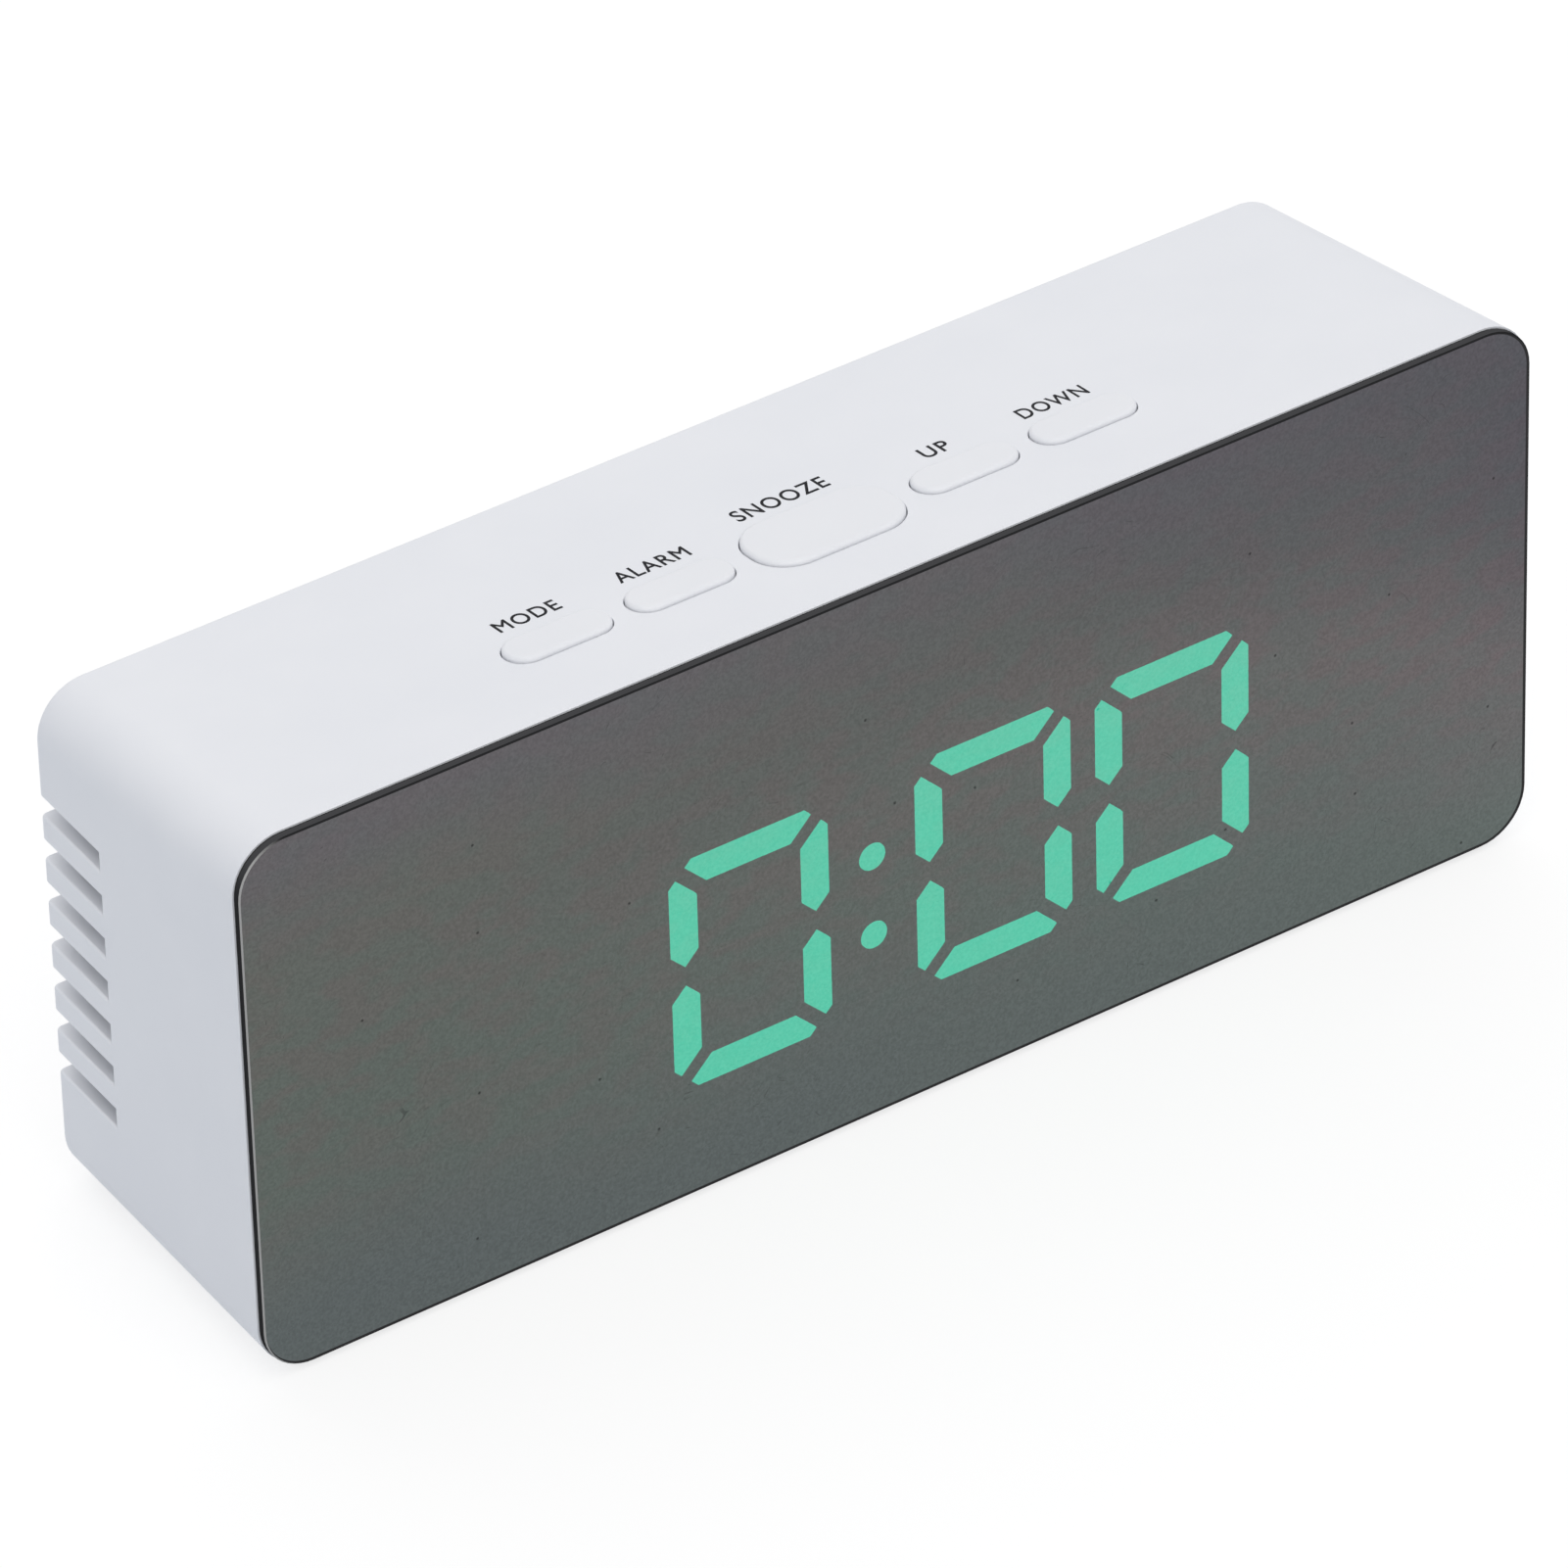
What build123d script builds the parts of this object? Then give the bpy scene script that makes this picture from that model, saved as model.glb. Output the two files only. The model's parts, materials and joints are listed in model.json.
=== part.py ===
"""Mirror alarm clock: a desk clock with a half-silvered front, five top buttons and a battery door.

X points to the right, the mirror faces -Y and Z points up. The origin is the middle of the underside.
Lengths are in millimetres.
"""

import os
from math import atan2, cos, pi, sin, sqrt

from build123d import *

# Case
case_width = 146.0
case_height = 59.6
case_depth = 36.5
corner_radius = 5.4
side_taper = 1.85
top_taper = 3.9
wall = 2.2
rear_edge_radius = 0.7
cut_overrun = 2.0

# Mirror panel and the tape behind it
panel_thickness = 0.8
panel_inset = 0.12
panel_chamfer = 0.15
tape_thickness = 0.2
tape_inset = 0.2

# Feet
foot_diameter = 9.0
foot_thickness = 1.2
foot_proud = 0.5
foot_from_side = 14.0
foot_from_edge = 7.5

# Vent slots, which wrap from each side onto the rear
vent_count = 7
vent_pitch = 4.885
vent_height = 2.15
vent_rise = 0.65
vent_run = 11.05
vent_reach = 6.0
vent_edge_radius = 0.3

# Front frame and the screws that close the case
frame_thickness = 2.0
frame_clearance = 0.15
boss_vent_gap = 0.5
boss_low = 5.5
boss_from_top = 10.6
boss_meet = 22.0
frame_boss_diameter = 6.0
case_boss_diameter = 7.5
head_hole_diameter = 5.2
shank_hole_diameter = 3.0
seat_thickness = 2.0
case_screw_diameter = 2.6
case_screw_length = 10.0
case_screw_head = 4.8
case_screw_head_height = 1.8
screw_clearance = 0.05
pilot_spare = 1.0
drive_length = 1.4
drive_width = 0.35
drive_depth = 0.5

# Display
display_x = -3.2
display_drop = 0.37
digit_width = 17.9
digit_height = 26.0
digit_space = 2.88
colon_space = 9.9
colon_diameter = 2.95
colon_pitch = 9.0
segment_bar = 3.1
segment_gap = 1.1
segment_cut = 0.75
block_margin = 2.4
block_depth = 7.0
block_setback = 0.2
window_clearance = 0.3
lens_depth = 2.5
lens_clearance = 0.05
lens_ledge = 0.3

# Main board and what sits on it
board_thickness = 1.6
board_margin = 1.0
board_edge = 2.75
post_gap = 0.45
post_diameter = 4.6
small_screw_diameter = 2.0
small_screw_length = 5.0
small_screw_head = 3.6
small_screw_head_height = 1.4
led_length = 1.6
led_width = 0.8
led_height = 0.8
chip_length = 17.9
chip_width = 7.5
chip_height = 2.3
chip_lift = 0.2
chip_x = -10.0
chip_drop = 3.0
lead_count = 14
lead_pitch = 1.27
lead_width = 0.4
lead_thickness = 0.25
lead_reach = 1.4
crystal_diameter = 3.0
crystal_length = 8.0
crystal_x = -36.0
capacitor_diameter = 6.3
capacitor_height = 7.7
capacitor_pitch = 8.5
capacitor_x = -42.0
capacitor_rise = 5.0
buzzer_diameter = 12.0
buzzer_height = 8.5
buzzer_port = 2.4
buzzer_port_depth = 1.5
buzzer_gap = 0.55
thermistor_radius = 1.3
thermistor_reach = 9.0
thermistor_lead = 0.5
thermistor_pitch = 1.27
thermistor_from_edge = 3.7

# Buttons, in the plane of the sloping top
button_from_front = 12.65
button_space = 2.3
snooze_space = 2.225
button_length = 11.35
button_width = 4.55
button_end_radius = 2.2
snooze_length = 16.4
snooze_width = 9.05
snooze_end_radius = 4.0
button_gap = 0.12
hole_edge_radius = 0.08
button_proud = 0.5
button_edge_radius = 0.4
flange_gap = 0.1
flange_reach = 0.8
flange_thickness = 1.0
stem_diameter = 3.0
stem_length = 2.0
button_travel = 0.5
plunger_diameter = 3.4
plunger_proud = 1.3
plunger_sunk = 1.5
plunger_clearance = 0.1
plunger_spare = 0.3
switch_size = 6.0
switch_height = 3.5
button_board_end = 4.0
button_board_width = 12.0
button_board_thickness = 1.2
button_boss_gap = 1.275
button_boss_diameter = 5.0
ribbon_width = 8.0
ribbon_thickness = 0.8
ribbon_bend = 3.0
ribbon_from_edge = 3.0
ribbon_x = 10.0
ribbon_back = 4.0

# Battery bay, door and contacts
cell_count = 3
cell_diameter = 10.5
cell_length = 44.5
cell_gap = 0.6
cell_edge_radius = 0.6
nub_diameter = 3.8
nub_height = 0.9
bay_drop = 1.85
bay_margin = 0.3
bay_wall = 1.6
contact_thickness = 0.4
contact_width = 8.0
contact_slit = 0.2
tab_width = 3.0
tab_proud = 3.0
spring_wire = 0.6
spring_diameter = 6.2
spring_length = 4.4
spring_turns = 3
door_thickness = 2.4
door_gap = 0.3
door_to_cell = 0.3
pin_radius = 0.6
pin_length = 1.5
pin_clearance = 0.05
pin_end_gap = 0.3
ledge_length = 8.0
ledge_reach = 0.8
ledge_thickness = 1.2
ledge_gap = 0.1
tongue_width = 14.0
tongue_length = 7.0
tongue_slot = 0.9
notch_length = 16.0
notch_width = 7.0
notch_depth = 1.0
grip_length = 10.0
grip_width = 0.8
grip_pitch = 1.6
grip_depth = 0.5
grip_count = 3

# Power socket
socket_from_bay = 7.55
socket_width = 7.6
socket_thickness = 2.8
socket_depth = 6.3
socket_corner = 0.8
socket_sheet = 0.3
socket_hole_gap = 0.3
socket_setback = 0.2
insert_gap = 0.1
insert_base = 2.0
insert_tongue_width = 4.2
insert_tongue_thickness = 0.6
insert_tongue_length = 2.8
power_board_end = 2.6
power_board_height = 11.0
power_board_thickness = 1.2
power_post_gap = 0.4
power_post_diameter = 4.4

# Leads
lead_diameter = 1.3
lead_bend_share = 0.7
battery_lead_drop = 7.0
power_lead_pitch = 1.8
power_lead_offset = 1.5
power_lead_start = 3.5
power_lead_drop = 4.5

# Least part of an edge's direction that must lie along Y for it to count as running front to back
along_share = 0.9
# Greatest distance from the outer skin at which an edge counts as lying on it
edge_tolerance = 0.01
# Points that the spring's own gap is measured on
gap_samples = 240

overall_depth = case_depth + panel_thickness + tape_thickness
front_y = -overall_depth / 2
rim_y = front_y + panel_thickness + tape_thickness
rear_y = overall_depth / 2
base_z = foot_proud
rear_middle_z = base_z + (case_height - top_taper) / 2
top_angle = atan2(top_taper, case_depth)
top_wall = wall * cos(top_angle)


def half_width_at(y):
    """Half the outer width of the case at depth y."""
    return case_width / 2 - side_taper * (y - rim_y) / case_depth


def top_at(y):
    """Height of the outer top face at depth y."""
    return base_z + case_height - top_taper * (y - rim_y) / case_depth


# Buttons
button_y = front_y + button_from_front
inner_button_x = (snooze_length + button_length) / 2 + snooze_space
outer_button_x = inner_button_x + button_length + button_space
flange_top = top_wall + flange_gap
stem_end = flange_top + flange_thickness + stem_length
switch_top = stem_end + plunger_proud
button_board_top = switch_top + switch_height
button_board_bottom = button_board_top + button_board_thickness
button_boss_x = outer_button_x + button_length / 2 + flange_reach + button_boss_gap + button_boss_diameter / 2
button_board_length = 2 * (button_boss_x + button_board_end)
button_boss_places = [(side * button_boss_x, 0) for side in (-1, 1)]
button_places = {
    "mode": -outer_button_x,
    "alarm": -inner_button_x,
    "snooze": 0,
    "up": inner_button_x,
    "down": outer_button_x,
}
top_plane = Plane(
    origin=(0, button_y, top_at(button_y)),
    x_dir=(1, 0, 0),
    z_dir=(0, sin(top_angle), cos(top_angle)),
)

# Display, a little below the middle of the room between the floor and the button board
button_board_z = top_at(button_y) - button_board_bottom * cos(top_angle)
display_z = (base_z + wall + button_board_z) / 2 - display_drop
digit_pitch = digit_width + digit_space
digit_bottom = display_z - digit_height / 2
block_width = 2 * (digit_pitch + digit_width + block_margin) + colon_space
block_height = digit_height + 2 * block_margin
block_front_y = rim_y + block_setback

# Main board
board_front_y = block_front_y + block_depth
board_rear_y = board_front_y + board_thickness
post_x = block_width / 2 + post_gap + post_diameter / 2
board_width = 2 * (post_x + board_edge)
board_height = digit_height + 2 * board_margin
post_z = board_height / 2 - board_edge
post_places = [
    (display_x + side * post_x, display_z + level * post_z) for side in (-1, 1) for level in (-1, 1)
]
thermistor_x = display_x - board_width / 2 + thermistor_from_edge

# Battery bay and door
cell_pitch = cell_diameter + cell_gap
bay_length = cell_length + spring_length + 2 * contact_thickness
bay_height = (cell_count - 1) * cell_pitch + cell_diameter + 2 * bay_margin
bay_depth = door_thickness + door_to_cell + cell_diameter
bay_z = rear_middle_z - bay_drop
bay_floor_y = rear_y - bay_depth
bay_front_y = bay_floor_y - bay_wall
bay_side_x = bay_length / 2 + bay_wall
cell_y = bay_floor_y + cell_diameter / 2
hinge_y = rear_y - door_thickness / 2
hinge_z = bay_z - bay_height / 2 + door_gap + door_thickness / 2
door_width = bay_length - 2 * door_gap
door_top = bay_z + bay_height / 2 - door_gap
buzzer_x = bay_side_x + buzzer_gap + buzzer_diameter / 2

# Power socket, on a board beside the bay and level with it
power_post_x = (socket_width + power_post_diameter) / 2 + power_post_gap
power_board_width = 2 * (power_post_x + power_board_end)
power_board_rear_y = rear_y - socket_setback - socket_depth
power_board_front_y = power_board_rear_y - power_board_thickness
socket_x = bay_side_x + socket_from_bay + power_board_width / 2
socket_z = bay_z
power_post_places = [(socket_x + side * power_post_x, socket_z) for side in (-1, 1)]

# Case screws and feet
meet_y = rim_y + boss_meet
boss_x = half_width_at(rear_y) - vent_reach - boss_vent_gap - case_boss_diameter / 2
boss_high = case_height - boss_from_top
case_screw_places = [(side * boss_x, base_z + height) for side in (-1, 1) for height in (boss_low, boss_high)]
foot_places = [
    (side * (case_width / 2 - foot_from_side), end * (case_depth / 2 - foot_from_edge))
    for side in (-1, 1)
    for end in (-1, 1)
]


def front_plane(y):
    """Plane at depth y that faces the viewer: its x is X and its y is Z."""
    return Plane.XZ.offset(-y)


def tapered_block(inset, y_front, y_rear, radius):
    """Solid that follows the four case walls, inset inside them, between two depths."""
    with BuildPart() as block:
        with BuildSketch(Plane.YZ):
            with BuildLine():
                Polyline(
                    (y_front, base_z + inset),
                    (y_front, top_at(y_front) - inset),
                    (y_rear, top_at(y_rear) - inset),
                    (y_rear, base_z + inset),
                    close=True,
                )
            make_face()
        extrude(amount=case_width, both=True)
        with BuildSketch(Plane.XY):
            with BuildLine():
                Polyline(
                    (inset - half_width_at(y_front), y_front),
                    (half_width_at(y_front) - inset, y_front),
                    (half_width_at(y_rear) - inset, y_rear),
                    (inset - half_width_at(y_rear), y_rear),
                    close=True,
                )
            make_face()
        extrude(amount=2 * case_height, both=True, mode=Mode.INTERSECT)
        long_edges = [edge for edge in block.edges() if abs((edge % 0.5).Y) > along_share]
        fillet(long_edges, radius)
    return block.part


def button_outline(name, grow):
    """Sketch of one button as seen from above, grown on all sides."""
    if name == "snooze":
        RectangleRounded(snooze_length + 2 * grow, snooze_width + 2 * grow, snooze_end_radius + grow)
    else:
        RectangleRounded(button_length + 2 * grow, button_width + 2 * grow, button_end_radius + grow)


def digit_outlines(left):
    """Corner points of the seven bars of a digit whose left edge is at X = left, keyed by place."""
    half = digit_height / 2
    top = [
        (segment_gap + 2 * segment_cut, digit_height),
        (digit_width - segment_gap - 2 * segment_cut, digit_height),
        (digit_width - segment_gap - segment_cut, digit_height - segment_cut),
        (digit_width - segment_gap - segment_bar, digit_height - segment_bar),
        (segment_gap + segment_bar, digit_height - segment_bar),
        (segment_gap + segment_cut, digit_height - segment_cut),
    ]
    side = [
        (0, digit_height - segment_gap - 2 * segment_cut),
        (segment_cut, digit_height - segment_gap - segment_cut),
        (segment_bar, digit_height - segment_gap - segment_bar),
        (segment_bar, half + segment_gap + segment_bar / 2),
        (segment_bar / 2, half + segment_gap),
        (0, half + segment_gap + segment_bar / 2),
    ]
    middle = [
        (segment_bar / 2 + segment_gap, half),
        (segment_bar + segment_gap, half + segment_bar / 2),
        (digit_width - segment_bar - segment_gap, half + segment_bar / 2),
        (digit_width - segment_bar / 2 - segment_gap, half),
        (digit_width - segment_bar - segment_gap, half - segment_bar / 2),
        (segment_bar + segment_gap, half - segment_bar / 2),
    ]
    local = {
        "top": top,
        "upper_left": side,
        "upper_right": [(digit_width - x, z) for x, z in side],
        "middle": middle,
        "lower_left": [(x, digit_height - z) for x, z in side],
        "lower_right": [(digit_width - x, digit_height - z) for x, z in side],
        "bottom": [(x, digit_height - z) for x, z in top],
    }
    return {place: [(left + x, digit_bottom + z) for x, z in points] for place, points in local.items()}


def lens_group(outlines):
    """Light-guide lenses of the given outlines, their faces flush with the front of the display block."""
    with BuildPart() as lenses:
        with BuildSketch(front_plane(block_front_y)):
            for points in outlines:
                Polygon(*points, align=None)
        extrude(amount=-lens_depth)
    return lenses


def screw_group(plane, way, places, head, head_height, shank, length):
    """Cross-headed screws whose heads stand on the plane, on the side that way gives along its normal."""
    with BuildPart() as screws:
        with BuildSketch(plane):
            with Locations(*places):
                Circle(head / 2)
        extrude(amount=way * head_height)
        with BuildSketch(plane):
            with Locations(*places):
                Circle(shank / 2)
        extrude(amount=-way * length)
        with BuildSketch(plane.offset(way * head_height)):
            with Locations(*places):
                Rectangle(2 * drive_length, 2 * drive_width)
                Rectangle(2 * drive_width, 2 * drive_length)
        extrude(amount=-way * drive_depth, mode=Mode.SUBTRACT)
    return screws


def add_biarc(start, start_way, end, end_way):
    """Two arcs that join two points and leave them along the given unit directions."""
    chord = end - start
    both_ways = start_way + end_way
    turn = 2 * (1 - start_way.dot(end_way))
    along = chord.dot(both_ways)
    reach = (sqrt(along * along + turn * chord.dot(chord)) - along) / turn
    joint = (start + end + (start_way - end_way) * reach) / 2
    joint_way = (end - end_way * reach - start - start_way * reach).normalized()
    TangentArc(start, joint, tangent=start_way)
    TangentArc(joint, end, tangent=joint_way)


def coil_point(angle, x_start, z_middle, way):
    """Point and unit direction on a spring's middle line after the given angle."""
    radius = (spring_diameter - spring_wire) / 2
    rise = way * (spring_length - spring_wire) / (2 * pi * spring_turns)
    point = Vector(
        x_start + way * spring_wire / 2 + rise * angle,
        cell_y + radius * cos(angle),
        z_middle + radius * sin(angle),
    )
    direction = Vector(rise, -radius * sin(angle), radius * cos(angle)).normalized()
    return point, direction


def on_skin(edges, skin):
    """Those of the edges that lie on the given skin."""
    return [edge for edge in edges if skin.distance_to(edge @ 0.5) < edge_tolerance]


def lead_part(x, start_y, start_z, rise):
    """Round lead that leaves a rear piece, rises or drops and ends on the rear of the main board."""
    run = (start_y - board_rear_y) / 2
    turn_y = board_rear_y + run
    with BuildPart() as lead:
        with BuildLine() as route:
            FilletPolyline(
                (x, start_y, start_z),
                (x, turn_y, start_z),
                (x, turn_y, start_z + rise),
                (x, board_rear_y, start_z + rise),
                radius=lead_bend_share * min(run, abs(rise) / 2),
            )
        with BuildSketch(Plane(origin=route.line @ 0, z_dir=route.line % 0)):
            Circle(lead_diameter / 2)
        sweep()
    return lead


outer_block = tapered_block(0, rim_y, rear_y, corner_radius)
cavity_block = tapered_block(wall, rim_y - cut_overrun, rear_y - wall, corner_radius - wall)
frame_inset = wall + frame_clearance
frame_block = tapered_block(frame_inset, rim_y, rim_y + frame_thickness, corner_radius - frame_inset)

digit_lefts = {
    "hour_tens": display_x - colon_space / 2 - digit_pitch - digit_width,
    "hour": display_x - colon_space / 2 - digit_width,
    "minute_tens": display_x + colon_space / 2,
    "minute": display_x + colon_space / 2 + digit_pitch,
}
digits = {name: digit_outlines(left) for name, left in digit_lefts.items()}
all_outlines = [points for digit in digits.values() for points in digit.values()]
colon_places = [(display_x, display_z + level * colon_pitch / 2) for level in (-1, 1)]
lens_middles = [
    (sum(x for x, z in points) / len(points), sum(z for x, z in points) / len(points))
    for points in all_outlines
]
led_places = lens_middles + colon_places
cell_heights = [bay_z + (index - (cell_count - 1) / 2) * cell_pitch for index in range(cell_count)]
# The plus pole of the lowest cell points left, and the poles alternate upwards
cell_ways = [1 if index % 2 else -1 for index in range(cell_count)]

with BuildPart() as main_case:
    add(outer_block)
    fillet(main_case.faces().sort_by(Axis.Y)[-1].edges(), rear_edge_radius)
    outer_skin = main_case.part.shell()
    add(cavity_block, mode=Mode.SUBTRACT)
    # Battery bay, as a box on the inside of the rear wall
    with BuildSketch(front_plane(rear_y - wall / 2)):
        with Locations((0, bay_z)):
            Rectangle(bay_length + 2 * bay_wall, bay_height + 2 * bay_wall)
    extrude(amount=rear_y - wall / 2 - bay_front_y)
    with BuildSketch(front_plane(rear_y + cut_overrun)):
        with Locations((0, bay_z)):
            Rectangle(bay_length, bay_height)
    extrude(amount=cut_overrun + bay_depth, mode=Mode.SUBTRACT)
    # Ledges that stop the door from falling in
    ledge_x = (bay_length - ledge_length) / 2
    with BuildSketch(front_plane(rear_y - door_thickness - ledge_gap)):
        with Locations(*[(side * ledge_x, bay_z + bay_height / 2) for side in (-1, 1)]):
            Rectangle(ledge_length, 2 * ledge_reach)
    extrude(amount=ledge_thickness)
    # Sockets for the door's hinge pins
    with BuildSketch(Plane.YZ):
        with Locations((hinge_y, hinge_z)):
            Circle(pin_radius + pin_clearance)
    extrude(amount=door_width / 2 + pin_length + pin_end_gap, both=True, mode=Mode.SUBTRACT)
    # Finger notch above the door
    with BuildSketch(front_plane(rear_y)):
        with Locations((0, bay_z + bay_height / 2)):
            SlotOverall(notch_length, notch_width)
    extrude(amount=notch_depth, mode=Mode.SUBTRACT)
    # Slits for the solder tabs of the end contacts
    with BuildSketch(front_plane(bay_floor_y)):
        for way, height in ((-1, cell_heights[0]), (-cell_ways[-1], cell_heights[-1])):
            with Locations((way * (bay_length - contact_thickness - contact_slit) / 2, height)):
                Rectangle(contact_thickness + contact_slit, tab_width + 2 * contact_slit)
    extrude(amount=bay_wall, mode=Mode.SUBTRACT)
    # Tubes for the case screws
    with BuildSketch(front_plane(rear_y - wall / 2)):
        with Locations(*case_screw_places):
            Circle(case_boss_diameter / 2)
    extrude(amount=rear_y - wall / 2 - meet_y)
    with BuildSketch(front_plane(rear_y)):
        with Locations(*case_screw_places):
            Circle(head_hole_diameter / 2)
    extrude(amount=rear_y - meet_y - seat_thickness, mode=Mode.SUBTRACT)
    with BuildSketch(front_plane(rear_y)):
        with Locations(*case_screw_places):
            Circle(shank_hole_diameter / 2)
    extrude(amount=rear_y - meet_y, mode=Mode.SUBTRACT)
    # Power socket hole and the posts of its board
    with BuildSketch(front_plane(rear_y)):
        with Locations((socket_x, socket_z)):
            RectangleRounded(
                socket_width + 2 * socket_hole_gap,
                socket_thickness + 2 * socket_hole_gap,
                socket_corner + socket_hole_gap,
            )
    extrude(amount=wall, mode=Mode.SUBTRACT)
    with BuildSketch(front_plane(rear_y - wall / 2)):
        with Locations(*power_post_places):
            Circle(power_post_diameter / 2)
    extrude(amount=rear_y - wall / 2 - power_board_rear_y)
    with BuildSketch(front_plane(power_board_rear_y)):
        with Locations(*power_post_places):
            Circle(small_screw_diameter / 2 + screw_clearance)
    extrude(amount=-(small_screw_length - power_board_thickness + pilot_spare), mode=Mode.SUBTRACT)
    # Posts for the button board, hung from the top wall
    with BuildSketch(top_plane.offset(-top_wall / 2)):
        with Locations(*button_boss_places):
            Circle(button_boss_diameter / 2)
    extrude(amount=top_wall / 2 - button_board_top)
    with BuildSketch(top_plane.offset(-button_board_top)):
        with Locations(*button_boss_places):
            Circle(small_screw_diameter / 2 + screw_clearance)
    extrude(amount=small_screw_length - button_board_thickness + pilot_spare, mode=Mode.SUBTRACT)
    # Button holes
    with BuildSketch(top_plane):
        for name, x in button_places.items():
            with Locations((x, 0)):
                button_outline(name, button_gap)
    extrude(amount=top_wall + flange_gap, both=True, mode=Mode.SUBTRACT)
    fillet(on_skin(main_case.edges(Select.LAST), outer_skin), hole_edge_radius)
    # Recesses for the feet
    with BuildSketch(Plane.XY.offset(base_z)):
        with Locations(*foot_places):
            Circle(foot_diameter / 2)
    extrude(amount=foot_thickness - foot_proud, mode=Mode.SUBTRACT)
    # Vent slots at the two rear corners
    with BuildSketch(front_plane(rear_y)):
        with Locations((0, rear_middle_z + vent_rise)):
            with GridLocations(2 * half_width_at(rear_y), vent_pitch, 2, vent_count):
                Rectangle(2 * vent_reach, vent_height)
    extrude(amount=vent_run, mode=Mode.SUBTRACT)
    fillet(on_skin(main_case.edges(Select.LAST), outer_skin), vent_edge_radius)

with BuildPart() as front_frame:
    add(frame_block)
    with BuildSketch(front_plane(rim_y)):
        with Locations((display_x, display_z)):
            Rectangle(block_width + 2 * window_clearance, block_height + 2 * window_clearance)
    extrude(amount=-frame_thickness, mode=Mode.SUBTRACT)
    with BuildSketch(front_plane(meet_y)):
        with Locations(*case_screw_places):
            Circle(frame_boss_diameter / 2)
    extrude(amount=meet_y - rim_y - frame_thickness / 2)
    with BuildSketch(front_plane(meet_y)):
        with Locations(*case_screw_places):
            Circle(case_screw_diameter / 2 + screw_clearance)
    extrude(amount=case_screw_length - seat_thickness + pilot_spare, mode=Mode.SUBTRACT)
    with BuildSketch(front_plane(board_front_y)):
        with Locations(*post_places):
            Circle(post_diameter / 2)
    extrude(amount=board_front_y - rim_y - frame_thickness / 2)
    with BuildSketch(front_plane(board_front_y)):
        with Locations(*post_places):
            Circle(small_screw_diameter / 2 + screw_clearance)
    extrude(amount=small_screw_length - board_thickness + pilot_spare, mode=Mode.SUBTRACT)

with BuildPart() as mirror_panel:
    with BuildSketch(front_plane(front_y)):
        with Locations((0, base_z + case_height / 2)):
            RectangleRounded(
                case_width - 2 * panel_inset,
                case_height - 2 * panel_inset,
                corner_radius - panel_inset,
            )
    extrude(amount=-panel_thickness)
    chamfer(mirror_panel.faces().sort_by(Axis.Y)[0].edges(), panel_chamfer)

with BuildPart() as panel_tape:
    with BuildSketch(front_plane(rim_y)):
        with Locations((0, base_z + case_height / 2)):
            RectangleRounded(
                case_width - 2 * tape_inset,
                case_height - 2 * tape_inset,
                corner_radius - tape_inset,
            )
        with Locations((display_x, display_z)):
            Rectangle(
                block_width + 2 * window_clearance,
                block_height + 2 * window_clearance,
                mode=Mode.SUBTRACT,
            )
    extrude(amount=tape_thickness)

with BuildPart() as display_block:
    with BuildSketch(front_plane(block_front_y)):
        with Locations((display_x, display_z)):
            Rectangle(block_width, block_height)
    extrude(amount=-block_depth)
    # Lens pockets, and narrower light wells behind them
    with BuildSketch(front_plane(block_front_y)):
        for points in all_outlines:
            Polygon(*points, align=None)
        with Locations(*colon_places):
            Circle(colon_diameter / 2)
        offset(amount=lens_clearance, kind=Kind.INTERSECTION)
    extrude(amount=-lens_depth, mode=Mode.SUBTRACT)
    with BuildSketch(front_plane(block_front_y)):
        for points in all_outlines:
            Polygon(*points, align=None)
        with Locations(*colon_places):
            Circle(colon_diameter / 2)
        offset(amount=-lens_ledge, kind=Kind.INTERSECTION)
    extrude(amount=-block_depth, mode=Mode.SUBTRACT)

lit_outlines = {
    name: [points for place, points in digits[name].items() if place != "middle"]
    for name in ("hour", "minute_tens", "minute")
}
hour_tens_lenses = lens_group(digits["hour_tens"].values())
hour_lenses = lens_group(lit_outlines["hour"])
minute_tens_lenses = lens_group(lit_outlines["minute_tens"])
minute_lenses = lens_group(lit_outlines["minute"])
middle_lenses = lens_group([digits[name]["middle"] for name in lit_outlines])

with BuildPart() as colon_lenses:
    with BuildSketch(front_plane(block_front_y)):
        with Locations(*colon_places):
            Circle(colon_diameter / 2)
    extrude(amount=-lens_depth)

with BuildPart() as main_board:
    with BuildSketch(front_plane(board_front_y)):
        with Locations((display_x, display_z)):
            Rectangle(board_width, board_height)
        with Locations(*post_places):
            Circle(small_screw_diameter / 2 + screw_clearance, mode=Mode.SUBTRACT)
    extrude(amount=-board_thickness)

with BuildPart() as led_chips:
    with BuildSketch(front_plane(board_front_y)):
        with Locations(*led_places):
            Rectangle(led_width, led_length)
    extrude(amount=led_height)

with BuildPart() as controller_chip:
    with BuildSketch(front_plane(board_rear_y + chip_lift)):
        with Locations((chip_x, display_z - chip_drop)):
            Rectangle(chip_length, chip_width)
    extrude(amount=-chip_height)
    with BuildSketch(front_plane(board_rear_y)):
        with Locations((chip_x, display_z - chip_drop)):
            with GridLocations(lead_pitch, chip_width + lead_reach, lead_count, 2):
                Rectangle(lead_width, lead_reach)
    extrude(amount=-lead_thickness)
    with BuildSketch(front_plane(board_rear_y)):
        with Locations((chip_x, display_z - chip_drop)):
            with GridLocations(lead_pitch, chip_width, lead_count, 2):
                Rectangle(lead_width, 2 * lead_thickness)
    extrude(amount=-(chip_lift + chip_height / 2))

with BuildPart() as crystal_can:
    with BuildSketch(Plane.XY.offset(display_z)):
        with Locations((crystal_x, board_rear_y + crystal_diameter / 2)):
            Circle(crystal_diameter / 2)
    extrude(amount=-crystal_length)

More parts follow.
